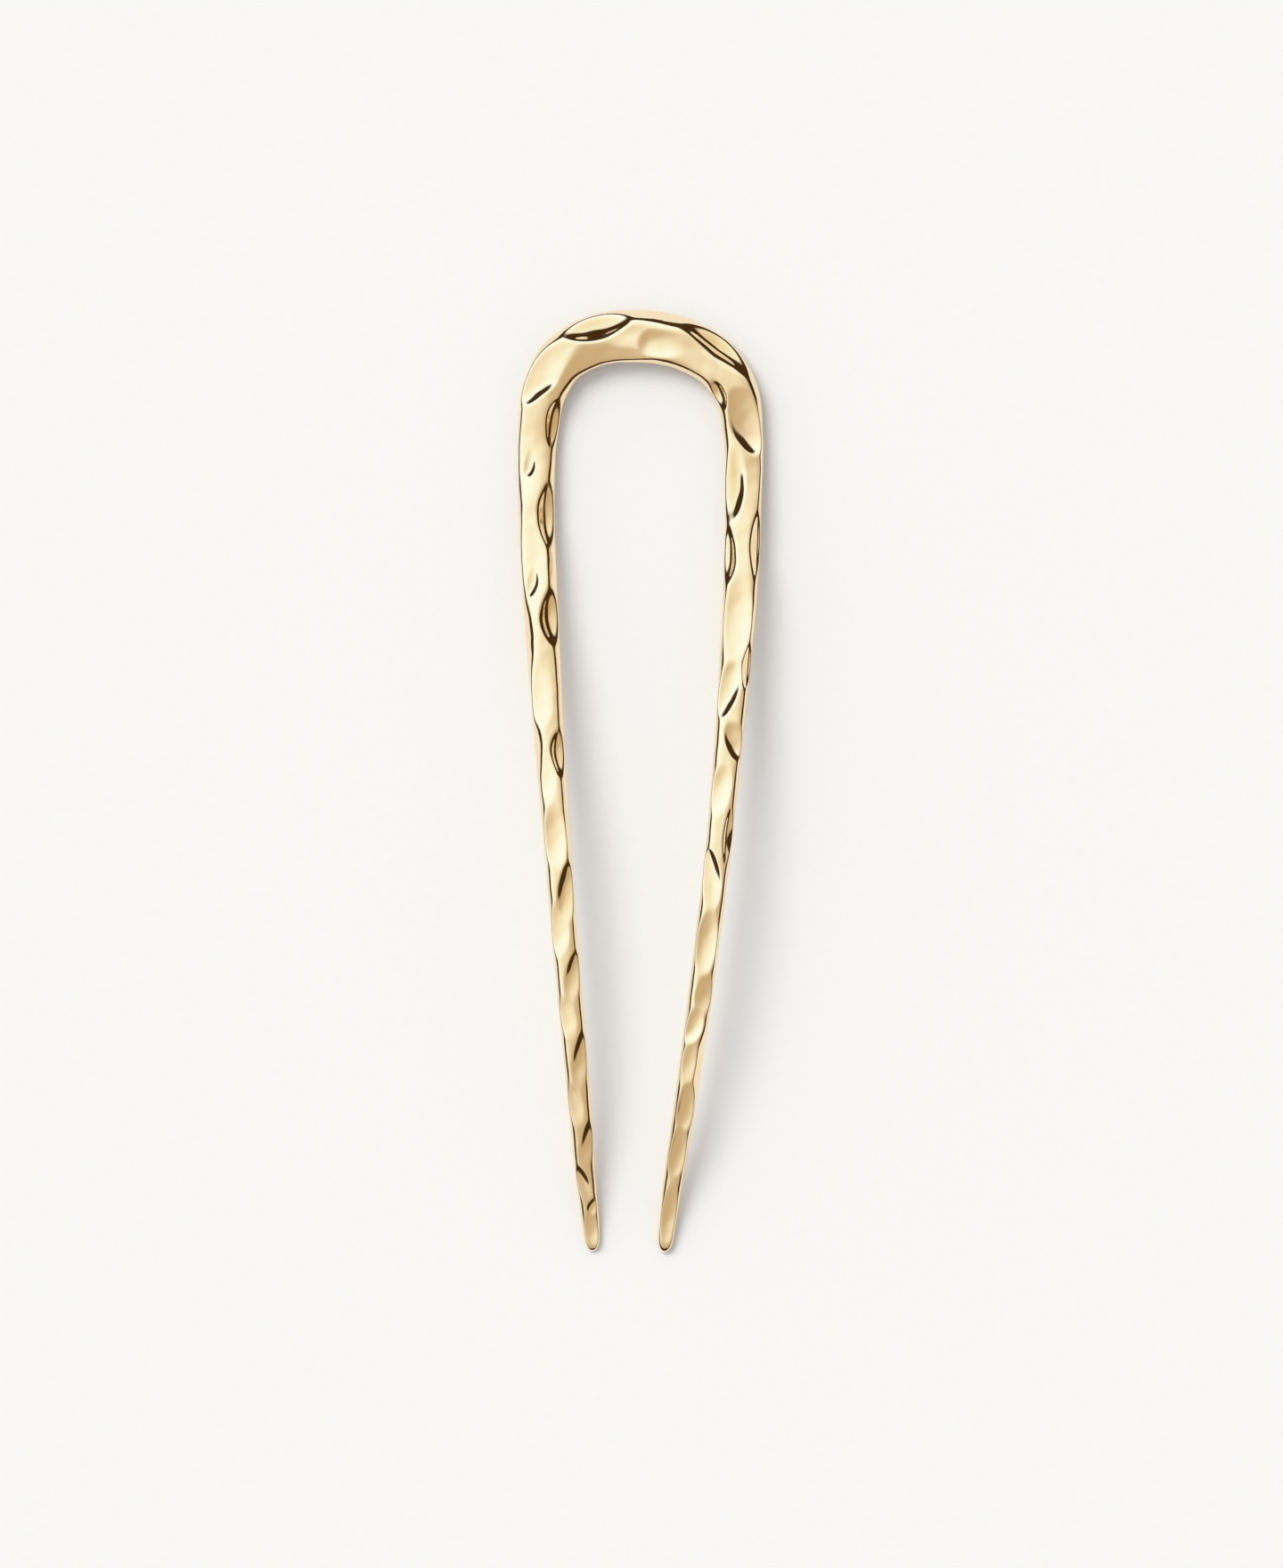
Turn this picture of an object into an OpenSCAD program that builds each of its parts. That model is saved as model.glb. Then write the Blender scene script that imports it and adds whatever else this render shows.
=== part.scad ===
// French hair pin: one hammered casting bent into a narrow U, its two prongs bowed up off the table.
// Lengths are millimetres, angles are degrees.
// The pin lies flat: +Y points to the bend, +Z is up, and the box it fills stands centred on the origin.

/* [Pin] */
// Length from the top of the bend to the prong tips
pin_length = 132.4; // [112:0.1:150]
// Spread between the middles of the metal at the two shoulders
shoulder_spread = 29; // [26:0.1:36]
// Height of the underside over the table at the crown of the bow
bow_height = 8.1; // [0:0.1:14]

/* [Stock] */
// Width of the metal at the top of the bend
bend_width = 7.5; // [6.4:0.1:8.4]
// Thickness of the metal at the top of the bend
bend_thick = 4.3; // [3.2:0.1:5.4]
// Length over which each prong rounds off at its end
tip_round = 2; // [1.2:0.1:3]
// Share of the thickness that lies below the widest line
belly_share = 0.22; // [0.18:0.01:0.3]
// Squareness of the underside, 2 is an ellipse
belly_square = 3.5; // [2.5:0.1:5]

/* [Hammering] */
// Depth of the dents as a share of the depth as made
dent_share = 1; // [0:0.05:1.2]
// Rounding where the dents meet as a share of the rounding as made
rim_share = 1; // [0.6:0.05:2]

/* [Mesh] */
// Rings along the metal
rings = 190; // [120:1:190]
// Points over the upper side of a ring
top_points = 22; // [14:2:22]
// Points under the lower side of a ring
base_points = 8; // [6:2:8]

/* [Hidden] */

// Sections through the metal from the left tip over the bend to the right tip.
// at: distance along the metal from the top of the bend, x and y: middle of the section,
// half: half width, thick: thickness, lift: underside over the table, square: squareness of the top,
// lean: how far the top stands outward of the widest line
AT = 0;
X = 1;
Y = 2;
HALF = 3;
THICK = 4;
LIFT = 5;
SQUARE = 6;
LEAN = 7;
SECTIONS = [
    [-137.4, -6.8, -65.9, 1.05, 1.3, 0, 2.8, 0],
    [-134, -7, -62.6, 1.2, 1.5, 0.2, 2.8, 0],
    [-128, -7.7, -56.5, 1.4, 1.8, 1.6, 2.9, 0],
    [-118, -8.5, -46.5, 1.6, 2, 4.4, 3, 0],
    [-105.5, -9.6, -34, 1.72, 2.1, 6.6, 3, 0],
    [-93, -10.7, -21.5, 1.8, 2.2, 7.4, 3.1, 0],
    [-80.5, -11.7, -9, 1.9, 2.4, 7.3, 3, 0],
    [-68, -12.7, 3.5, 2.05, 2.6, 6.2, 2.7, -0.05],
    [-55.5, -13.5, 16, 2.3, 2.8, 4.6, 2.9, 0.1],
    [-43, -14.2, 28.5, 2.45, 3, 2.6, 3.1, 0.35],
    [-31.5, -14.6, 39.8, 2.55, 3.2, 0.9, 3.1, 0.35],
    [-22.8, -14.4, 48.5, 2.8, 3.5, 0, 3.1, 0.3],
    [-16.2, -13.4, 55, 3.2, 3.9, 0, 3.2, 0.25],
    [-11.2, -11, 59.2, 3.5, 4.2, 0, 3.4, 0.15],
    [-6.4, -6.9, 61.7, 3.65, 4.3, 0, 3.5, 0],
    [0, -0.6, 62.6, 3.75, 4.3, 0, 3.7, -0.15],
    [6.8, 6.1, 61.4, 3.65, 4.3, 0, 3.6, -0.15],
    [12.4, 10.8, 58.6, 3.45, 4.2, 0, 3.4, -0.2],
    [17.1, 13.4, 54.8, 3.15, 3.9, 0, 3.4, -0.2],
    [23.5, 14.4, 48.5, 2.85, 3.5, 0, 3.5, -0.2],
    [32.2, 14.4, 39.8, 2.62, 3.2, 0.9, 3.6, -0.15],
    [43.5, 14, 28.5, 2.48, 3, 2.7, 3.6, -0.05],
    [56, 13.1, 16, 2.25, 2.8, 4.9, 3.4, 0],
    [68.5, 12, 3.5, 1.95, 2.5, 6.8, 3.3, 0],
    [81, 10.8, -9, 1.82, 2.3, 8, 3.2, 0],
    [93.5, 9.3, -21.5, 1.75, 2.2, 8.1, 3.1, 0],
    [106, 7.7, -34, 1.65, 2.1, 7.3, 3, 0],
    [119, 5.9, -46.5, 1.5, 1.9, 5, 2.9, 0],
    [129, 4.4, -56.5, 1.35, 1.7, 1.9, 2.9, 0],
    [135.3, 3.6, -62.8, 1.2, 1.5, 0.3, 2.8, 0],
    [138.7, 3.2, -66.1, 1.05, 1.3, 0, 2.8, 0],
];

// Dents shared by both tables below.
// at: place along the metal, across: share of the half width with the outer side of the U positive,
// bite: depth below the bare top at the deepest place, tipward and bendward: reach along the metal
// each way, slant: how far the dent runs tipward for each millimetre outward, rim: rounding of its edge
ACROSS = 1;
BITE = 2;
TIPWARD = 3;
BENDWARD = 4;
SLANT = 5;
RIM = 6;

// Broad faces left by a domed hammer.
// tilt: lean of the floor with the outer side positive, ball: radius of the hammer's dome
TILT = 7;
BALL = 8;
FACES = [
    [-134.8, 0, 0.35, 2.4, 3, 0, 0.2, 0, 3.5],
    [-131, -0.3, 0.35, 1.3, 1, 0.5, 0.1, -10, 1.5],
    [-127.6, 0.2, 0.32, 2.8, 1.8, -1.2, 0.15, 8, 5],
    [-116.4, 0.3, 0.38, 3, 2.7, -0.6, 0.2, 14, 4.5],
    [-104, 0.35, 0.35, 3, 2.4, -0.6, 0.2, 12, 6],
    [-92.5, 0.3, 0.5, 3, 4.2, 0.5, 0.2, 14, 5],
    [-79.2, 0.05, 0.6, 4.2, 4.4, 0, 0.25, 5, 4.5],
    [-71, 0.35, 0.4, 3.2, 4.5, 0.3, 0.25, 14, 6],
    [-67.6, 0.68, 0.3, 4.5, 3.6, 0, 0.3, 50, 20],
    [-60.4, 0.3, 0.6, 3.2, 6.5, 0.5, 0.35, 12, 7],
    [-58.5, -0.45, 0.2, 6, 6, 0, 0.6, -16, 12],
    [-50, -0.76, 0.2, 28, 28, 0, 0.2, -56, 60],
    [-49.4, 0.75, 0.2, 5, 4.6, 0, 0.6, 48, 20],
    [-44.2, 0.4, 0.62, 1.1, 2.8, 0.9, 0.1, 6, 1.5],
    [-43, 0.3, 0.42, 3.6, 7, 0.6, 0.8, 10, 9],
    [-27.4, 0.34, 0.64, 1.1, 2.6, 0.5, 0.1, 6, 1.3],
    [-26.5, 0.28, 0.42, 3.6, 8, 0.5, 0.8, 12, 12],
    [-24.5, -0.3, 0.25, 5, 5, 0, 0.6, -14, 14],
    [-15.9, 0.28, 0.85, 2.5, 7, 0.8, 0.2, 12, 11],
    [-8, -0.4, 0.35, 6, 6, 0, 0.6, -22, 14],
    [-5, -0.55, 0.3, 5.5, 6.5, 0, 0.4, -18, 14],
    [-1, 0.05, 0.3, 4, 5, 0, 0.4, 2, 9],
    [1.9, -0.4, 0.66, 5, 1.8, 0, 0.25, 8, 4],
    [2, 0.74, 0.4, 8, 8, 0, 1, 52, 20],
    [9.5, -0.35, 0.25, 5, 4.5, 0, 0.5, 2, 12],
    [22.8, 0.17, 0.98, 2.9, 6.2, 0.8, 0.15, 6, 5],
    [28.5, 0.37, 0.25, 4, 3, 0.3, 0.4, 14, 10],
    [49.5, 0, 0.6, 5.4, 5.6, 0, 0.35, -3, 6],
    [59.8, -0.3, 0.66, 2.9, 4.8, -1.2, 0.2, -8, 4.5],
    [66.4, 0.36, 0.65, 2.1, 2.8, 0.8, 0.15, 14, 4.5],
    [73, -0.2, 0.5, 3.4, 3.2, -0.5, 0.2, -10, 4.5],
    [84.6, -0.28, 0.65, 4.8, 2.6, 1.3, 0.15, -10, 5],
    [94.5, 0.15, 0.6, 4.2, 4.2, 0, 0.2, -6, 3.5],
    [101.8, 0.3, 0.45, 2.4, 2.8, 0, 0.2, 12, 4.5],
    [106.5, -0.15, 0.5, 1.9, 3, -0.6, 0.15, -8, 3.5],
    [111.5, -0.2, 0.4, 3.2, 2.6, 0, 0.25, -4, 4.5],
    [112, 0.58, 0.4, 4.2, 4.4, 0, 0.2, 48, 12],
    [118.8, 0.15, 0.55, 2.4, 4.8, 0, 0.15, 6, 3],
    [125, 0, 0.5, 2.7, 4.4, 0, 0.15, 2, 3],
    [133.5, 0, 0.4, 4.2, 4, 0, 0.2, 2, 3.5],
];

// Scoops taken out of the edges.
// wall and ledge: lean of the steep side and of the flatter side, fillet: rounding between them,
// curl: how far the line where they meet moves to the edge of the metal at the scoop's ends
WALL = 7;
LEDGE = 8;
FILLET = 9;
CURL = 10;
SCOOPS = [
    [-122, -0.3, 0.4, 3.2, 2.2, 1.6, 0.2, 22, 10, 0.3, 0],
    [-110, -0.27, 0.5, 4, 2.6, 1.5, 0.2, 24, 10, 0.3, 0],
    [-98.6, -0.2, 0.5, 3.4, 2.4, 1.3, 0.2, 26, 10, 0.3, 0],
    [-87, -0.25, 0.65, 4.5, 3.4, 1.5, 0.15, 26, 10, 0.2, 0],
    [-67.2, -0.36, 0.85, 4.6, 3.8, 0, 0.4, 49, 14, 0.25, 1.1],
    [-48.5, -0.4, 1.15, 4.9, 4.6, 0, 0.5, 50, 14, 0.35, 1.1],
    [-34, -0.48, 1.2, 5.2, 5.6, 0, 0.4, 54, 16, 0.25, 0.8],
    [-20.6, -0.6, 0.9, 5, 4.2, 0, 0.2, 50, 24, 0.15, 0.5],
    [-5, 0.4, 1.5, 5.2, 5.2, 0, 0.35, 42, 8, 0.5, 1.3],
    [10.7, 0.5, 1.6, 5.4, 5.5, 0, 0.95, 50, 10, 0.4, 1.4],
    [15.6, -0.58, 0.6, 3.6, 2, -1, 0.15, 46, 22, 0.15, 0],
    [30.5, -0.2, 0.75, 4.4, 5.6, -0.7, 0.45, 40, 10, 0.3, 0.6],
    [38.6, 0.84, 0.95, 4.6, 4.2, 0, 0.3, 52, 14, 0.15, 0],
    [40.8, -0.62, 0.8, 3.8, 5.2, 0, 0.35, 49, 16, 0.25, 0.5],
    [55.8, 0.8, 0.8, 3, 3.2, 0, 0.2, 52, 14, 0.15, 0],
    [79.4, 0.5, 0.5, 4.4, 4.4, 0, 0.2, 50, 16, 0.15, 0.3],
    [79.8, 0.74, 0.6, 2.3, 2.3, 0, 0.1, 44, 30, 0.1, 0],
];

// Sizes the tables were drawn up for
made_length = 132.4;
made_spread = 29;
made_bow = 8.1;
made_width = 7.5;
made_thick = 4.3;
// A ray that misses a tool is treated as meeting it this far out
miss = 1000;
// Smallest cosine at which a ray still counts as meeting a flat
grazing = 0.05;
// Directions up to this far from straight up get the closer points
upper_half = 100;
// Square of how far past its reach a dent is still tried
past_reach = 3;
// The curl of a scoop grows no more past this square of its reach
curl_end = 2;
// Half the step used to take the direction of the metal
step = 0.2;
// Rings over the rounding of each prong end
tip_rings = 4;
// How strongly the rings crowd towards the bend and the tips
crowd = 0.03;
// The last ring stops this share short of the very end
end_share = 0.97;

scales = [
    1,
    shoulder_spread / made_spread,
    pin_length / made_length,
    bend_width / made_width,
    bend_thick / made_thick,
    bow_height / made_bow,
    1,
    bend_width / made_width,
];
stations = [for (row = SECTIONS) [for (c = [0:LEAN]) row[c] * scales[c]]];
last = len(stations) - 1;
widest = max([for (row = stations) row[HALF]]);
first_at = stations[0][AT];
last_at = stations[last][AT];

// Slope of every column at row i, from the rows on both sides of it
function secant(i) = (stations[i + 1] - stations[i]) / (stations[i + 1][AT] - stations[i][AT]);
function slope(i) =
    i == 0 ? secant(0) :
    i == last ? secant(last - 1) :
    let (before = stations[i][AT] - stations[i - 1][AT], after = stations[i + 1][AT] - stations[i][AT])
    (secant(i - 1) * after + secant(i) * before) / (before + after);
slopes = [for (i = [0:last]) slope(i)];

// Smooth curve through the rows, all columns at once
function row_below(s, i = 0) = i >= last - 1 || s < stations[i + 1][AT] ? i : row_below(s, i + 1);
function section(s) =
    let (i = row_below(s), h = stations[i + 1][AT] - stations[i][AT], u = (s - stations[i][AT]) / h)
    stations[i] * (2 * u ^ 3 - 3 * u ^ 2 + 1) + slopes[i] * h * (u ^ 3 - 2 * u ^ 2 + u)
    + stations[i + 1] * (3 * u ^ 2 - 2 * u ^ 3) + slopes[i + 1] * h * (u ^ 3 - u ^ 2);

// Distance from the widest line's middle to the bare skin in direction a, measured from straight up
function skin(v, a) =
    let (over = abs(cos(a)) / (v[THICK] * (cos(a) > 0 ? 1 - belly_share : belly_share)),
        n = cos(a) > 0 ? v[SQUARE] : belly_square)
    ((abs(sin(a)) / v[HALF]) ^ n + over ^ n) ^ (-1 / n);

// Smooth least and smooth greatest of two distances, k is the width of the blend
function least(a, b, k) = min(a, b) - max(k - abs(a - b), 0) ^ 2 / (4 * k);
function greatest(a, b, k) = max(a, b) + max(k - abs(a - b), 0) ^ 2 / (4 * k);

// How far place s lies from a dent's deepest place, as the square of the share of its reach
function off_floor(dent, v, s, a) =
    let (side = dent[AT] < 0 ? -1 : 1,
        q = (s - dent[AT]) * side - dent[SLANT] * v[HALF] * (sin(a) - dent[ACROSS]),
        reach = q > 0 ? dent[TIPWARD] : dent[BENDWARD])
    (q / reach) ^ 2;

// Height of a dent's floor over the widest line, rising to its two ends
function floor_height(dent, v, off) =
    let (n = v[SQUARE], top = v[THICK] * (1 - belly_share) * (1 - abs(dent[ACROSS]) ^ n) ^ (1 / n))
    top - dent[BITE] * dent_share * (1 - off);

// Distance to a domed tool whose middle stands on the floor
function to_dome(face, v, s, a) =
    let (x = face[ACROSS] * v[HALF] + face[BALL] * sin(face[TILT]),
        z = floor_height(face, v, off_floor(face, v, s, a)) + face[BALL] * cos(face[TILT]),
        ahead = x * sin(a) + z * cos(a),
        under = face[BALL] ^ 2 - (x * cos(a) - z * sin(a)) ^ 2)
    under > 0 && ahead > 0 ? ahead - sqrt(under) : miss;

// Distance to a flat through x across and z up, whose normal is tilted from straight up
function to_flat(tilt, x, z, a) =
    cos(a - tilt) > grazing ? (x * sin(tilt) + z * cos(tilt)) / cos(a - tilt) : miss;

// Distance to a chisel with a steep side and a flatter side that meet on the floor
function to_chisel(scoop, v, s, a) =
    let (side = sign(scoop[ACROSS]),
        off = off_floor(scoop, v, s, a),
        x = scoop[ACROSS] * v[HALF] + side * scoop[CURL] * min(off, curl_end),
        z = floor_height(scoop, v, off))
    greatest(to_flat(side * scoop[WALL], x, z, a), to_flat(side * scoop[LEDGE], x, z, a), scoop[FILLET]);

// Dents close enough to place s to touch it
function near(table, s) = [for (d = table)
    if (abs(s - d[AT]) < max(d[TIPWARD], d[BENDWARD]) * sqrt(past_reach + d[RIM] * rim_share / d[BITE])
        + widest * (1 + abs(d[ACROSS])) * abs(d[SLANT])) d];

// Take each dent off in turn
function faced(r, faces, v, s, a, i = 0) = i == len(faces) ? r :
    faced(least(r, to_dome(faces[i], v, s, a), faces[i][RIM] * rim_share), faces, v, s, a, i + 1);
function scooped(r, scoops, v, s, a, i = 0) = i == len(scoops) ? r :
    scooped(least(r, to_chisel(scoops[i], v, s, a), scoops[i][RIM] * rim_share), scoops, v, s, a, i + 1);

// Directions round a ring, more of them over the top than below
points = top_points + base_points;
function direction(j) = j <= top_points ?
    upper_half * (2 * j / top_points - 1) :
    upper_half + (360 - 2 * upper_half) * (j - top_points) / base_points;

// Rounding off of the prong ends
function rounding(s) =
    let (e = max(0, s - last_at + tip_round, first_at + tip_round - s) / tip_round)
    sqrt(max(0, 1 - e ^ 2));

// One ring of points at place s
function ring(s) =
    let (v = section(s),
        run = section(s + step) - section(s - step),
        length = norm([run[X], run[Y]]),
        out = [-run[Y], run[X]] / length,
        faces = near(FACES, s),
        scoops = near(SCOOPS, s),
        round_off = rounding(s))
    [for (j = [0:points - 1])
        let (a = direction(j),
            r = scooped(faced(skin(v, a), faces, v, s, a), scoops, v, s, a) * round_off,
            over = r * sin(a) + v[LEAN] * max(0, r * cos(a)) / (v[THICK] * (1 - belly_share)))
        [v[X] + over * out.x, v[Y] + over * out.y,
            max(0, v[LIFT]) + v[THICK] * belly_share + r * cos(a)]];

// Places of the rings, closer together at the bend and towards the tips
function gap(k) = tip_round * (1 - end_share * sin(90 * k / tip_rings));
function along(u) = u - crowd * sin(720 * u);
clear = last_at - first_at - 2 * tip_round;
places = concat(
    [for (k = [tip_rings:-1:1]) first_at + gap(k)],
    [for (i = [0:rings - 1]) first_at + tip_round + clear * along(i / (rings - 1))],
    [for (k = [1:tip_rings]) last_at - gap(k)]);
total = len(places);

body = [for (s = places) ring(s)];
function middle(ring) = [for (k = [0:2]) sum([for (p = ring) p[k]]) / len(ring)];
function sum(values, i = 0) = i == len(values) ? 0 : values[i] + sum(values, i + 1);
raw = concat([for (r = body) each r], [middle(body[0]), middle(body[total - 1])]);

// The box the pin fills stands centred on the origin
centre = [for (k = [0:1]) (max([for (p = raw) p[k]]) + min([for (p = raw) p[k]])) / 2];
skin_points = [for (p = raw) [p.x - centre.x, p.y - centre.y, p.z]];

function index(i, j) = i * points + j % points;
skin_faces = concat(
    [for (i = [0:total - 2]) for (j = [0:points - 1])
        each [[index(i, j), index(i + 1, j), index(i + 1, j + 1)],
            [index(i, j), index(i + 1, j + 1), index(i, j + 1)]]],
    [for (j = [0:points - 1]) [index(0, j + 1), total * points, index(0, j)]],
    [for (j = [0:points - 1]) [index(total - 1, j), total * points + 1, index(total - 1, j + 1)]]);

// The whole pin
module hair_pin() {
    color([0.93, 0.74, 0.42])
        polyhedron(points = skin_points, faces = skin_faces, convexity = 6);
}

hair_pin();
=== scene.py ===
"""Hammered gold hair pin lying on a pale table, seen from straight above."""
import math

import bpy
import numpy as np
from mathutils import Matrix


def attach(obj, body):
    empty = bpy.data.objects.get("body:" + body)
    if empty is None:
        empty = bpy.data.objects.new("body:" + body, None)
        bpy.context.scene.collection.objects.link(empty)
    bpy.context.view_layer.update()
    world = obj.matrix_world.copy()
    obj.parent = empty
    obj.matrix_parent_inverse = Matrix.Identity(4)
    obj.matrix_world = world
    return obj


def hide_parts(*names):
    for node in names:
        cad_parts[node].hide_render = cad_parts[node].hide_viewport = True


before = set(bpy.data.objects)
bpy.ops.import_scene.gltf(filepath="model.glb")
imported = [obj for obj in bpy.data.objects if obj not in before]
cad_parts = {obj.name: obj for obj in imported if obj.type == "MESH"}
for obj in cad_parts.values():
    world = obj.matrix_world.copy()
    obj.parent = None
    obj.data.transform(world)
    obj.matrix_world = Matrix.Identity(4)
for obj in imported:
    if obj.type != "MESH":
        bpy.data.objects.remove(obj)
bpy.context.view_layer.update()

# ---------------------------------------------------------------- the metal, in millimetres
# Sections from the left tip over the bend to the right tip.
# at: place along the metal from the top of the bend, x and y: middle of the section,
# half: half width, thick: thickness, lift: underside over the table, square: squareness of the top,
# lean: how far the top stands outward of the widest line
SECTIONS = np.array([
    [-137.4, -6.8, -65.9, 1.05, 1.3, 0.0, 2.8, 0.00],
    [-134.0, -7.0, -62.6, 1.20, 1.5, 0.2, 2.8, 0.00],
    [-128.0, -7.7, -56.5, 1.40, 1.8, 1.6, 2.9, 0.00],
    [-118.0, -8.5, -46.5, 1.60, 2.0, 4.4, 3.0, 0.00],
    [-105.5, -9.6, -34.0, 1.72, 2.1, 6.6, 3.0, 0.00],
    [-93.0, -10.7, -21.5, 1.80, 2.2, 7.4, 3.1, 0.00],
    [-80.5, -11.7, -9.0, 1.90, 2.4, 7.3, 3.0, 0.00],
    [-68.0, -12.7, 3.5, 2.05, 2.6, 6.2, 2.7, -0.05],
    [-55.5, -13.5, 16.0, 2.30, 2.8, 4.6, 2.9, 0.10],
    [-43.0, -14.2, 28.5, 2.45, 3.0, 2.6, 3.1, 0.35],
    [-31.5, -14.6, 39.8, 2.55, 3.2, 0.9, 3.1, 0.35],
    [-22.8, -14.4, 48.5, 2.80, 3.5, 0.0, 3.1, 0.30],
    [-16.2, -13.4, 55.0, 3.20, 3.9, 0.0, 3.2, 0.25],
    [-11.2, -11.0, 59.2, 3.50, 4.2, 0.0, 3.4, 0.15],
    [-6.4, -6.9, 61.7, 3.65, 4.3, 0.0, 3.5, 0.00],
    [0.0, -0.6, 62.6, 3.75, 4.3, 0.0, 3.7, -0.15],
    [6.8, 6.1, 61.4, 3.65, 4.3, 0.0, 3.6, -0.15],
    [12.4, 10.8, 58.6, 3.45, 4.2, 0.0, 3.4, -0.20],
    [17.1, 13.4, 54.8, 3.15, 3.9, 0.0, 3.4, -0.20],
    [23.5, 14.4, 48.5, 2.85, 3.5, 0.0, 3.5, -0.20],
    [32.2, 14.4, 39.8, 2.62, 3.2, 0.9, 3.6, -0.15],
    [43.5, 14.0, 28.5, 2.48, 3.0, 2.7, 3.6, -0.05],
    [56.0, 13.1, 16.0, 2.25, 2.8, 4.9, 3.4, 0.00],
    [68.5, 12.0, 3.5, 1.95, 2.5, 6.8, 3.3, 0.00],
    [81.0, 10.8, -9.0, 1.82, 2.3, 8.0, 3.2, 0.00],
    [93.5, 9.3, -21.5, 1.75, 2.2, 8.1, 3.1, 0.00],
    [106.0, 7.7, -34.0, 1.65, 2.1, 7.3, 3.0, 0.00],
    [119.0, 5.9, -46.5, 1.50, 1.9, 5.0, 2.9, 0.00],
    [129.0, 4.4, -56.5, 1.35, 1.7, 1.9, 2.9, 0.00],
    [135.3, 3.6, -62.8, 1.20, 1.5, 0.3, 2.8, 0.00],
    [138.7, 3.2, -66.1, 1.05, 1.3, 0.0, 2.8, 0.00],
])

# Broad faces left by a domed hammer.
# at: place along the metal, across: place over the half width with the outer side of the U positive,
# bite: depth of the floor, tipward and bendward: reach along the metal each way,
# slant: how far it runs tipward for each millimetre outward, rim: rounding of its edge,
# tilt: lean of its middle, outward positive, ball: radius of the hammer's dome
FACES = [
    (-134.8, 0.00, 0.35, 2.4, 3.0, 0.0, 0.20, 0, 3.5),
    (-131.0, -0.30, 0.35, 1.3, 1.0, 0.5, 0.10, -10, 1.5),
    (-127.6, 0.20, 0.32, 2.8, 1.8, -1.2, 0.15, 8, 5.0),
    (-116.4, 0.30, 0.38, 3.0, 2.7, -0.6, 0.20, 14, 4.5),
    (-104.0, 0.35, 0.35, 3.0, 2.4, -0.6, 0.20, 12, 6.0),
    (-92.5, 0.30, 0.50, 3.0, 4.2, 0.5, 0.20, 14, 5.0),
    (-79.2, 0.05, 0.60, 4.2, 4.4, 0.0, 0.25, 5, 4.5),
    (-71.0, 0.35, 0.40, 3.2, 4.5, 0.3, 0.25, 14, 6.0),
    (-67.6, 0.68, 0.30, 4.5, 3.6, 0.0, 0.30, 50, 20.0),
    (-60.4, 0.30, 0.60, 3.2, 6.5, 0.5, 0.35, 12, 7.0),
    (-58.5, -0.45, 0.20, 6.0, 6.0, 0.0, 0.60, -16, 12.0),
    (-50.0, -0.76, 0.20, 28.0, 28.0, 0.0, 0.20, -56, 60.0),
    (-49.4, 0.75, 0.20, 5.0, 4.6, 0.0, 0.60, 48, 20.0),
    (-44.2, 0.40, 0.62, 1.1, 2.8, 0.9, 0.10, 6, 1.5),
    (-43.0, 0.30, 0.42, 3.6, 7.0, 0.6, 0.80, 10, 9.0),
    (-27.4, 0.34, 0.64, 1.1, 2.6, 0.5, 0.10, 6, 1.3),
    (-26.5, 0.28, 0.42, 3.6, 8.0, 0.5, 0.80, 12, 12.0),
    (-24.5, -0.30, 0.25, 5.0, 5.0, 0.0, 0.60, -14, 14.0),
    (-15.9, 0.28, 0.85, 2.5, 7.0, 0.8, 0.20, 12, 11.0),
    (-8.0, -0.40, 0.35, 6.0, 6.0, 0.0, 0.60, -22, 14.0),
    (-5.0, -0.55, 0.30, 5.5, 6.5, 0.0, 0.40, -18, 14.0),
    (-1.0, 0.05, 0.30, 4.0, 5.0, 0.0, 0.40, 2, 9.0),
    (1.9, -0.40, 0.66, 5.0, 1.8, 0.0, 0.25, 8, 4.0),
    (2.0, 0.74, 0.40, 8.0, 8.0, 0.0, 1.00, 52, 20.0),
    (9.5, -0.35, 0.25, 5.0, 4.5, 0.0, 0.50, 2, 12.0),
    (22.8, 0.17, 0.98, 2.9, 6.2, 0.8, 0.15, 6, 5.0),
    (28.5, 0.37, 0.25, 4.0, 3.0, 0.3, 0.40, 14, 10.0),
    (49.5, 0.00, 0.60, 5.4, 5.6, 0.0, 0.35, -3, 6.0),
    (59.8, -0.30, 0.66, 2.9, 4.8, -1.2, 0.20, -8, 4.5),
    (66.4, 0.36, 0.65, 2.1, 2.8, 0.8, 0.15, 14, 4.5),
    (73.0, -0.20, 0.50, 3.4, 3.2, -0.5, 0.20, -10, 4.5),
    (84.6, -0.28, 0.65, 4.8, 2.6, 1.3, 0.15, -10, 5.0),
    (94.5, 0.15, 0.60, 4.2, 4.2, 0.0, 0.20, -6, 3.5),
    (101.8, 0.30, 0.45, 2.4, 2.8, 0.0, 0.20, 12, 4.5),
    (106.5, -0.15, 0.50, 1.9, 3.0, -0.6, 0.15, -8, 3.5),
    (111.5, -0.20, 0.40, 3.2, 2.6, 0.0, 0.25, -4, 4.5),
    (112.0, 0.58, 0.40, 4.2, 4.4, 0.0, 0.20, 48, 12.0),
    (118.8, 0.15, 0.55, 2.4, 4.8, 0.0, 0.15, 6, 3.0),
    (125.0, 0.00, 0.50, 2.7, 4.4, 0.0, 0.15, 2, 3.0),
    (133.5, 0.00, 0.40, 4.2, 4.0, 0.0, 0.20, 2, 3.5),
]

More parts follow.
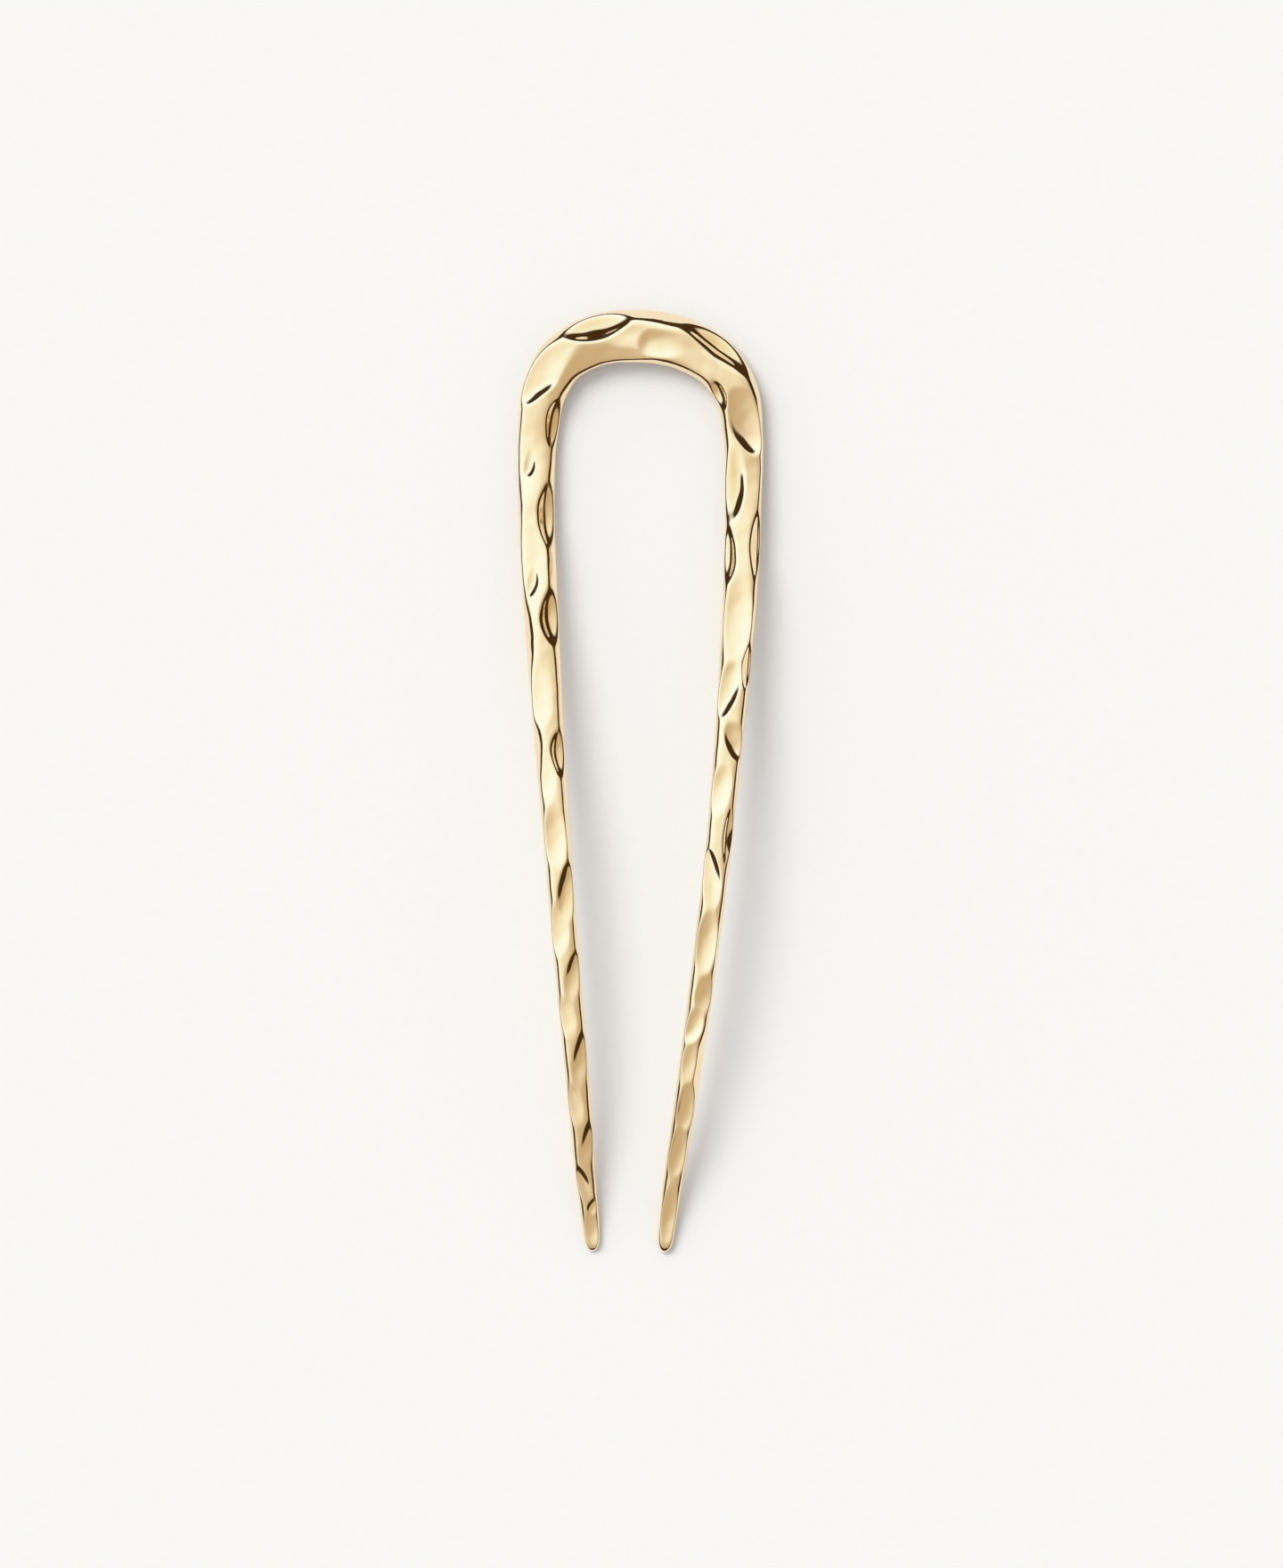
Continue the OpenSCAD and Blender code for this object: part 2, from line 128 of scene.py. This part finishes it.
# Scoops taken out of the edges, columns as above up to rim, then
# wall and ledge: lean of the steep side and of the flatter side, fillet: rounding between them,
# curl: how far the line where they meet moves to the edge at either end
SCOOPS = [
    (-122.0, -0.30, 0.40, 3.2, 2.2, 1.6, 0.20, 22, 10, 0.30, 0.0),
    (-110.0, -0.27, 0.50, 4.0, 2.6, 1.5, 0.20, 24, 10, 0.30, 0.0),
    (-98.6, -0.20, 0.50, 3.4, 2.4, 1.3, 0.20, 26, 10, 0.30, 0.0),
    (-87.0, -0.25, 0.65, 4.5, 3.4, 1.5, 0.15, 26, 10, 0.20, 0.0),
    (-67.2, -0.36, 0.85, 4.6, 3.8, 0.0, 0.40, 49, 14, 0.25, 1.1),
    (-48.5, -0.40, 1.15, 4.9, 4.6, 0.0, 0.50, 50, 14, 0.35, 1.1),
    (-34.0, -0.48, 1.20, 5.2, 5.6, 0.0, 0.40, 54, 16, 0.25, 0.8),
    (-20.6, -0.60, 0.90, 5.0, 4.2, 0.0, 0.20, 50, 24, 0.15, 0.5),
    (-5.0, 0.40, 1.50, 5.2, 5.2, 0.0, 0.35, 42, 8, 0.50, 1.3),
    (10.7, 0.50, 1.60, 5.4, 5.5, 0.0, 0.95, 50, 10, 0.40, 1.4),
    (15.6, -0.58, 0.60, 3.6, 2.0, -1.0, 0.15, 46, 22, 0.15, 0.0),
    (30.5, -0.20, 0.75, 4.4, 5.6, -0.7, 0.45, 40, 10, 0.30, 0.6),
    (38.6, 0.84, 0.95, 4.6, 4.2, 0.0, 0.30, 52, 14, 0.15, 0.0),
    (40.8, -0.62, 0.80, 3.8, 5.2, 0.0, 0.35, 49, 16, 0.25, 0.5),
    (55.8, 0.80, 0.80, 3.0, 3.2, 0.0, 0.20, 52, 14, 0.15, 0.0),
    (79.4, 0.50, 0.50, 4.4, 4.4, 0.0, 0.20, 50, 16, 0.15, 0.3),
    (79.8, 0.74, 0.60, 2.3, 2.3, 0.0, 0.10, 44, 30, 0.10, 0.0),
]

# Faint waves that the hammer leaves all over the upper side.
# along and across: length of a wave each way, start: degrees at the top of the bend, height
WAVES = [
    (3.1, 4.3, 40, 0.007),
    (4.7, -2.9, 200, 0.009),
    (2.3, 3.7, 310, 0.004),
    (7.9, 6.1, 120, 0.014),
]

TIP_ROUND = 2.0     # length over which each prong rounds off
TIP_SHARE = 0.985   # share of that length that the outermost ring reaches
BELLY = 0.22        # share of the thickness that lies below the widest line
BELLY_SQUARE = 3.5  # squareness of the underside
UPPER_HALF = 100    # directions up to this many degrees from straight up get the closer points
TOP_POINTS = 90     # points round the upper part of a ring
BASE_POINTS = 18    # points round the rest of it
RINGS = 890         # rings between the rounded tips
TIP_RINGS = 12      # rings round off each tip
STEP = 0.2          # distance each way over which the run of the metal is taken
MISS = 1000.0       # distance given where a tool isn't met
GRAZING = 0.05      # cosine below which a flat counts as not met
CURL_END = 2.0      # the curl stops at this square of the reach
DEEP = 0.8          # depth of a scoop at which the painted shade in it is full
SHARP = (0.6, 2.6)  # turn of the skin in radians per millimetre, from no wear to full wear
MM = 0.001          # metres in a millimetre

HALF, THICK, SQUARE = 2, 3, 5   # columns of what section() gives, which leaves out at


def section(at):
    """Every column at places at: cubic curve through the rows, whose slope at a row is the mean of the
    slopes on both sides of it, each weighted by the length of the other side."""
    x, y = SECTIONS[:, 0], SECTIONS[:, 1:]
    d = np.diff(x)
    secant = np.diff(y, axis=0) / d[:, None]
    slope = np.vstack([secant[:1], (secant[:-1] * d[1:, None] + secant[1:] * d[:-1, None])
                       / (d[:-1] + d[1:])[:, None], secant[-1:]])
    i = np.clip(np.searchsorted(x, at, "right") - 1, 0, len(x) - 2)
    h = d[i][:, None]
    u = (at - x[i])[:, None] / h
    return (y[i] * (2 * u**3 - 3 * u**2 + 1) + slope[i] * h * (u**3 - 2 * u**2 + u)
            + y[i + 1] * (3 * u**2 - 2 * u**3) + slope[i + 1] * h * (u**3 - u**2))


def least(a, b, k):
    """The smaller of a and b, less the square of what |a - b| falls short of k, over 4k."""
    return np.minimum(a, b) - np.maximum(k - np.abs(a - b), 0) ** 2 / (4 * k)


def greatest(a, b, k):
    """The greater of a and b, plus the same rounding."""
    return np.maximum(a, b) + np.maximum(k - np.abs(a - b), 0) ** 2 / (4 * k)


def bare_skin(half, thick, square, turn):
    """Distance from the widest line's middle to the skin in direction turn from straight up: a
    superellipse of the half width and of the thickness above, or below, that line."""
    over = np.abs(np.cos(turn)) / (thick * np.where(np.cos(turn) > 0, 1 - BELLY, BELLY))
    n = np.where(np.cos(turn) > 0, square, BELLY_SQUARE)
    return ((np.abs(np.sin(turn)) / half) ** n + over ** n) ** (-1 / n)


def dent_floor(dent, at, turn, half, thick, square):
    """Middle of a dent's floor outward and up from the widest line, and the square of the distance along
    over the reach. The floor lies the bite below the bare top and rises with that square."""
    place, share, bite, tipward, bendward, slant = dent[:6]
    across = share * half
    off = (at - place) * (-1 if place < 0 else 1) - slant * (half * np.sin(turn) - across)
    reach = np.where(off > 0, tipward, bendward)
    top = thick * (1 - BELLY) * (1 - np.abs(share) ** square) ** (1 / square)
    part = (off / reach) ** 2
    return across, top - bite * (1 - part), part


def to_dome(tilt, ball, x, z, turn):
    """Distance in direction turn to a ball that touches the floor from above, leaning by tilt."""
    x = x + ball * np.sin(tilt)
    z = z + ball * np.cos(tilt)
    along = x * np.sin(turn) + z * np.cos(turn)
    under = ball ** 2 - (x * np.cos(turn) - z * np.sin(turn)) ** 2
    return np.where((under > 0) & (along > 0), along - np.sqrt(np.maximum(under, 0)), MISS)


def to_flat(tilt, x, z, turn):
    """Distance in direction turn to a flat through the floor whose normal leans outward by tilt."""
    facing = np.cos(turn - tilt)
    away = (x * np.sin(tilt) + z * np.cos(tilt)) / np.maximum(facing, GRAZING)
    return np.where(facing > GRAZING, away, MISS)


def hammered_skin(at, turn):
    """Distance to the finished skin, and what the scoops took off: the bare skin, then for each dent the
    smooth least of it and the distance to the tool. The tool is a dome for a face; for a scoop it is the
    smooth greatest of two flats, a steep one and a flatter one, that meet on the floor."""
    half, thick, square = (column[:, None] for column in section(at)[:, [HALF, THICK, SQUARE]].T)
    at = at[:, None]
    turn = turn[None]
    r = bare_skin(half, thick, square, turn)

    for face in FACES:
        rim, tilt, ball = face[6:]
        x, z, _ = dent_floor(face, at, turn, half, thick, square)
        r = least(r, to_dome(np.radians(tilt), ball, x, z, turn), rim)
    faced = r

    for scoop in SCOOPS:
        share = scoop[1]
        rim, wall, ledge, fillet, curl = scoop[6:]
        x, z, part = dent_floor(scoop, at, turn, half, thick, square)
        x = x + np.copysign(curl, share) * np.minimum(part, CURL_END)
        steep, flatter = (to_flat(np.copysign(np.radians(lean), share), x, z, turn) for lean in (wall, ledge))
        r = least(r, greatest(steep, flatter, fillet), rim)
    return r, faced - r


def waves(at, turn, half):
    """Height of the waves: sines of the place along the metal and across it, fading out at the sides."""
    across = half[:, None] * np.sin(turn)
    total = sum(height * np.sin(2 * np.pi * (at[:, None] / along + across / over) + np.radians(start))
                for along, over, start, height in WAVES)
    return total * np.clip(2 * np.cos(turn), 0, 1)


def wear_of(points):
    """How sharply the skin turns round each ring, as a share from no wear to full wear: the angle between
    the steps before and after a point over their mean length, positive where the skin is convex."""
    ahead = np.roll(points, -1, 1) - points
    behind = points - np.roll(points, 1, 1)
    long = np.linalg.norm(ahead, axis=-1), np.linalg.norm(behind, axis=-1)
    cosine = (ahead * behind).sum(-1) / np.maximum(long[0] * long[1], 1e-12)
    bulge = ((behind - ahead) * (points - points.mean(1, keepdims=True))).sum(-1)
    rate = np.arccos(np.clip(cosine, -1, 1)) * np.sign(bulge) / np.maximum((long[0] + long[1]) / 2, 1e-9)
    return np.clip((rate - SHARP[0]) / (SHARP[1] - SHARP[0]), 0, 1)


def pin_grid():
    """Rings at places along the metal, points round each ring at directions turn: the section's middle,
    plus r sin(turn) outward and r cos(turn) up; r closes up as a quarter circle at both tips."""
    first, last = SECTIONS[0, 0], SECTIONS[-1, 0]
    gap = TIP_ROUND * (1 - TIP_SHARE * np.sin(np.pi / 2 * np.arange(1, TIP_RINGS + 1) / TIP_RINGS))
    between = np.linspace(first + TIP_ROUND, last - TIP_ROUND, RINGS)
    at = np.concatenate([first + gap[::-1], between, last - gap])
    turn = np.radians(np.concatenate([
        np.linspace(-UPPER_HALF, UPPER_HALF, TOP_POINTS, endpoint=False),
        np.linspace(UPPER_HALF, 360 - UPPER_HALF, BASE_POINTS, endpoint=False)]))
    x, y, half, thick, lift, square, lean = section(at).T
    run = section(at + STEP) - section(at - STEP)
    out = np.stack([-run[:, 1], run[:, 0]], 1) / np.hypot(run[:, 0], run[:, 1])[:, None]
    ends = np.clip(np.maximum(at - last + TIP_ROUND, first + TIP_ROUND - at) / TIP_ROUND, 0, 1)
    r, scooped = hammered_skin(at, turn)
    r = (r - waves(at, turn, half)) * np.sqrt(1 - ends ** 2)[:, None]
    up = np.maximum(r * np.cos(turn)[None], 0) / (thick * (1 - BELLY))[:, None]
    over = r * np.sin(turn)[None] + lean[:, None] * up
    points = np.stack([x[:, None] + over * out[:, :1], y[:, None] + over * out[:, 1:],
                       (np.maximum(lift, 0) + thick * BELLY)[:, None] + r * np.cos(turn)[None]], -1)
    return at, turn, np.clip(scooped / DEEP, 0, 1), points


def closed_tube(name, points, lay, marks, material):
    """A mesh from a grid of rings by points round, closed round each ring and by a fan at both ends. Its
    map holds lay, the places along and round the metal; each of the marks becomes a point attribute."""
    rings, around = points.shape[:2]
    ends = np.stack([points[0].mean(0), points[-1].mean(0)])
    verts = np.concatenate([points.reshape(-1, 3), ends])
    i, j = np.meshgrid(np.arange(rings - 1), np.arange(around), indexing="ij")
    k = (j + 1) % around
    here, there = i * around, (i + 1) * around
    quads = np.stack([here + j, here + k, there + k, there + j], -1).reshape(-1, 4)
    j = np.arange(around)
    k = (j + 1) % around
    low = np.stack([k, j, np.full(around, rings * around)], 1)
    base = (rings - 1) * around
    high = np.stack([base + j, base + k, np.full(around, rings * around + 1)], 1)
    loops = np.concatenate([quads.ravel(), low.ravel(), high.ravel()])
    sizes = np.concatenate([np.full(len(quads), 4), np.full(2 * around, 3)])
    mesh = bpy.data.meshes.new(name)
    mesh.vertices.add(len(verts))
    mesh.vertices.foreach_set("co", verts.ravel())
    mesh.loops.add(len(loops))
    mesh.loops.foreach_set("vertex_index", loops)
    mesh.polygons.add(len(sizes))
    mesh.polygons.foreach_set("loop_start", np.concatenate([[0], np.cumsum(sizes)[:-1]]))
    mesh.polygons.foreach_set("use_smooth", np.ones(len(sizes), bool))
    mesh.update(calc_edges=True)
    along, round_it = lay
    u = np.concatenate([along[quads // around].ravel(),
                        np.repeat(along[0], 3 * around),
                        np.repeat(along[-1], 3 * around)])
    corners = np.broadcast_to(np.stack([j, j + 1, j + 1, j], -1), (rings - 1, around, 4))
    v = np.concatenate([round_it[corners].ravel(),
                        round_it[np.stack([j + 1, j, j], 1)].ravel(),
                        round_it[np.stack([j, j + 1, j], 1)].ravel()])
    mesh.uv_layers.new(name="lay").data.foreach_set("uv", np.stack([u, v], -1).ravel())
    for mark, values in marks.items():
        held = mesh.attributes.new(mark, "FLOAT", "POINT")
        held.data.foreach_set("value", np.concatenate([values.ravel(), values[0, :1], values[-1, :1]]))
    mesh.validate()
    mesh.materials.append(material)
    piece = bpy.data.objects.new(name, mesh)
    bpy.context.scene.collection.objects.link(piece)
    return piece


# ---------------------------------------------------------------- materials
def new_material(name):
    material = bpy.data.materials.new(name)
    material.use_nodes = True
    tree = material.node_tree
    return material, tree, tree.nodes["Principled BSDF"]


def add(tree, kind, links=(), **values):
    """A node with its values set and its inputs linked."""
    node = tree.nodes.new(kind)
    for key, value in values.items():
        setattr(node, key, value)
    for socket, source in dict(links).items():
        if isinstance(source, bpy.types.NodeSocket):
            tree.links.new(source, node.inputs[socket])
        else:
            node.inputs[socket].default_value = source
    return node


def ramp(tree, fac, stops, mode="LINEAR"):
    node = add(tree, "ShaderNodeValToRGB", {"Fac": fac})
    node.color_ramp.interpolation = mode
    while len(node.color_ramp.elements) < len(stops):
        node.color_ramp.elements.new(0.5)
    for element, (place, colour) in zip(node.color_ramp.elements, stops):
        element.position = place
        element.color = (*colour, 1) if len(colour) == 3 else colour
    return node


def mix(tree, share, low, high):
    node = add(tree, "ShaderNodeMix", data_type="RGBA")
    for socket, source in ((0, share), (6, low), (7, high)):
        tree.links.new(source, node.inputs[socket])
    return node.outputs[2]


def gold_plate():
    material, tree, shader = new_material("gold_plate")
    place = add(tree, "ShaderNodeTexCoord").outputs["Object"]
    broad = add(tree, "ShaderNodeTexNoise", {"Vector": place, "Scale": 160.0, "Detail": 3.0})
    fine = add(tree, "ShaderNodeTexNoise", {"Vector": place, "Scale": 1500.0,
                                            "Detail": 4.0, "Roughness": 0.6})
    tone = ramp(tree, broad.outputs["Fac"], [(0.3, (0.98, 0.79, 0.53)), (0.7, (1.0, 0.825, 0.58))])
    # Painted shade: inside the scoops the base colour turns to a darker, deeper gold, more so the deeper they
    # go.
    scoop_shade = ramp(tree, broad.outputs["Fac"], [(0.3, (0.90, 0.66, 0.36)), (0.7, (0.93, 0.71, 0.42))])
    worn = ramp(tree, fine.outputs["Fac"], [(0.3, (1.0, 0.84, 0.60)), (0.7, (1.0, 0.88, 0.68))])
    scoop_shade_mask = add(tree, "ShaderNodeAttribute", attribute_name="scoop_shade_mask")
    wear = add(tree, "ShaderNodeAttribute", attribute_name="wear")
    depth = add(tree, "ShaderNodeMapRange", {"Value": scoop_shade_mask.outputs["Fac"],
                                             "From Min": 0.15, "From Max": 1.0})
    rubbed = add(tree, "ShaderNodeMath", {0: wear.outputs["Fac"], 1: fine.outputs["Fac"]},
                 operation="MULTIPLY")
    gold_with_scoop_shade = mix(tree, depth.outputs["Result"], tone.outputs["Color"], scoop_shade.outputs["Color"])
    colour = mix(tree, rubbed.outputs["Value"], gold_with_scoop_shade, worn.outputs["Color"])
    tree.links.new(colour, shader.inputs["Base Color"])

    lay = add(tree, "ShaderNodeUVMap", uv_map="lay")
    drawn = add(tree, "ShaderNodeMapping", {"Vector": lay.outputs["UV"], "Scale": (0.35, 6.0, 1.0)})
    lines = add(tree, "ShaderNodeTexNoise", {"Vector": drawn.outputs["Vector"], "Scale": 1.0, "Detail": 3.0})
    buffed = add(tree, "ShaderNodeMath", {0: lines.outputs["Fac"], 1: fine.outputs["Fac"]}, operation="ADD")
    polish = add(tree, "ShaderNodeMapRange", {"Value": buffed.outputs["Value"],
                                              "From Min": 0.7, "From Max": 1.3,
                                              "To Min": 0.04, "To Max": 0.10})
    rough = add(tree, "ShaderNodeMath", {0: rubbed.outputs["Value"], 1: 0.08, 2: polish.outputs["Result"]},
                operation="MULTIPLY_ADD")
    tree.links.new(rough.outputs["Value"], shader.inputs["Roughness"])
    ripple = add(tree, "ShaderNodeBump", {"Height": buffed.outputs["Value"],
                                          "Strength": 0.04, "Distance": 0.0001})
    tree.links.new(ripple.outputs["Normal"], shader.inputs["Normal"])
    shader.inputs["Metallic"].default_value = 1.0
    return material


def table_paper():
    material, tree, shader = new_material("table_paper")
    place = add(tree, "ShaderNodeTexCoord").outputs["Object"]
    tooth = add(tree, "ShaderNodeTexNoise", {"Vector": place, "Scale": 900.0, "Detail": 3.0})
    tone = ramp(tree, tooth.outputs["Fac"], [(0.2, (0.885, 0.880, 0.868)), (0.8, (0.900, 0.896, 0.884))])
    tree.links.new(tone.outputs["Color"], shader.inputs["Base Color"])
    shader.inputs["Roughness"].default_value = 0.9
    shader.inputs["Specular IOR Level"].default_value = 0.1
    return material


# ---------------------------------------------------------------- the pin
# The third value is how deep the scoops go, the mask for the painted shade in them.
at, turn, scoop_shade_mask, points = pin_grid()
low = points.reshape(-1, 3).min(0)
high = points.reshape(-1, 3).max(0)
centre = np.array([(low[0] + high[0]) / 2, (low[1] + high[1]) / 2, 0.0])
pin = closed_tube("pin", (points - centre) * MM, (at, np.append(turn, turn[0] + 2 * np.pi)),
                  {"scoop_shade_mask": scoop_shade_mask, "wear": wear_of(points)}, gold_plate())
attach(pin, "root")
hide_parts("hair_pin")

# ---------------------------------------------------------------- table
TABLE = 1.5         # half the side of the table top, in metres
floor_mesh = bpy.data.meshes.new("table")
floor_mesh.from_pydata([(-TABLE, -TABLE, 0), (TABLE, -TABLE, 0), (TABLE, TABLE, 0), (-TABLE, TABLE, 0)],
                       [], [(0, 1, 2, 3)])
floor_mesh.materials.append(table_paper())
table = bpy.data.objects.new("table", floor_mesh)
bpy.context.scene.collection.objects.link(table)

# ---------------------------------------------------------------- light
scene = bpy.context.scene
scene.view_settings.view_transform = "Standard"
scene.view_settings.look = "None"

# The metal mirrors a ceiling that runs from tan to pale toward the upper left and is dark low down.
# Everything else is lit by an even sky that is brighter on the window side.
CEILING = [(0.10, (0.60, 0.49, 0.34)), (0.30, (0.66, 0.59, 0.46)), (0.50, (0.86, 0.83, 0.71)),
           (0.68, (0.97, 1.02, 0.95)), (0.82, (0.99, 1.13, 1.15)), (1.0, (1.02, 1.20, 1.35))]
LOW_DOWN = [(0.0, (1, 1, 1)), (0.42, (1, 1, 1)), (0.60, (0, 0, 0))]
LOW_TONE = (0.055, 0.030, 0.0085, 1.0)
SKY = [(0.0, (0.555, 0.56, 0.577)), (1.0, (1.10, 1.11, 1.145))]

world = bpy.data.worlds.new("studio")
scene.world = world
world.use_nodes = True
tree = world.node_tree
tree.nodes.clear()
way = add(tree, "ShaderNodeTexCoord").outputs["Generated"]
height = add(tree, "ShaderNodeSeparateXYZ", {"Vector": way})
across = add(tree, "ShaderNodeVectorMath", {0: way, 1: (-0.50, 0.60, 0.0)}, operation="DOT_PRODUCT")
lobe = add(tree, "ShaderNodeMath", {0: across.outputs["Value"], 1: 0.55}, operation="ADD", use_clamp=True)
ceiling = ramp(tree, lobe.outputs[0], CEILING)
dark = ramp(tree, height.outputs["Z"], LOW_DOWN, "EASE")
seen = add(tree, "ShaderNodeMix", data_type="RGBA", blend_type="MIX")
tree.links.new(dark.outputs["Color"], seen.inputs[0])
tree.links.new(ceiling.outputs["Color"], seen.inputs[6])
seen.inputs[7].default_value = LOW_TONE
glossy = add(tree, "ShaderNodeBackground", {"Color": seen.outputs[2], "Strength": 1.0})
side = add(tree, "ShaderNodeVectorMath", {0: way, 1: (-0.80, 0.60, 0.0)}, operation="DOT_PRODUCT")
window = ramp(tree, side.outputs["Value"], SKY)
ambient = add(tree, "ShaderNodeBackground", {"Color": window.outputs["Color"], "Strength": 1.0})
path = add(tree, "ShaderNodeLightPath")
both = add(tree, "ShaderNodeMixShader", {0: path.outputs["Is Glossy Ray"],
                                         1: ambient.outputs[0], 2: glossy.outputs[0]})
add(tree, "ShaderNodeOutputWorld", {"Surface": both.outputs[0]})

KEY_WAY = np.array([-0.52, 0.55, 0.88])   # toward the soft lamp, from the pin
light = bpy.data.lights.new("soft_key", "SUN")
light.angle = math.radians(33)
light.energy = 1.60
light.color = (1.0, 0.983, 0.914)
key = bpy.data.objects.new("soft_key", light)
key.location = KEY_WAY
key.rotation_euler = (math.acos(KEY_WAY[2] / np.linalg.norm(KEY_WAY)), 0,
                      math.atan2(KEY_WAY[1], KEY_WAY[0]) + math.pi / 2)
key.visible_glossy = False
scene.collection.objects.link(key)

# ---------------------------------------------------------------- camera, straight above
VIEW_HIGH = 0.220      # height of the picture on the table
STAND_OFF = 1.500      # height of the camera over the plane it looks at
LOOK_Z = 0.002         # that plane's own height
AIM = np.array([0.06, -0.25, 0.0]) - centre   # middle of the picture, in millimetres
camera_data = bpy.data.cameras.new("camera")
camera_data.sensor_fit = "VERTICAL"
camera_data.sensor_height = 24.0
camera_data.lens = 24.0 * STAND_OFF / VIEW_HIGH
camera = bpy.data.objects.new("camera", camera_data)
camera.location = (AIM[0] * MM, AIM[1] * MM, STAND_OFF + LOOK_Z)
camera.rotation_euler = (0, 0, 0)
scene.collection.objects.link(camera)
scene.camera = camera
